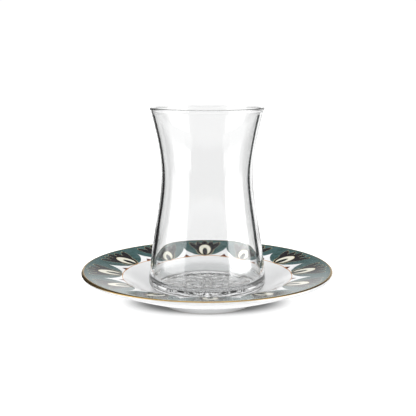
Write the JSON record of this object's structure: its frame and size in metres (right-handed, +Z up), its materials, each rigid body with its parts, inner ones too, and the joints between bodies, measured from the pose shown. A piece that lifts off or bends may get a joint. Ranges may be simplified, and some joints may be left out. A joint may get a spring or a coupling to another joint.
{
  "type": "turkish tea glass with saucer",
  "caption": "Clear waisted tea glass with a thick moulded base, standing in the well of a round porcelain saucer with a patterned, gold-edged rim.",
  "frame": {"origin": "centre of the saucer's foot ring, on the surface that it stands on", "axes": "+Z up along the common axis of the glass and the saucer; -Y towards the viewer"},
  "size_m": [0.121, 0.121, 0.0943],
  "materials": {
    "clear_glass": "clear, fire-polished",
    "glazed_porcelain": "white gloss glaze with a printed border"
  },
  "bodies": {
    "root": {"tea_glass": "clear_glass", "saucer": "glazed_porcelain"}
  },
  "joints": []
}
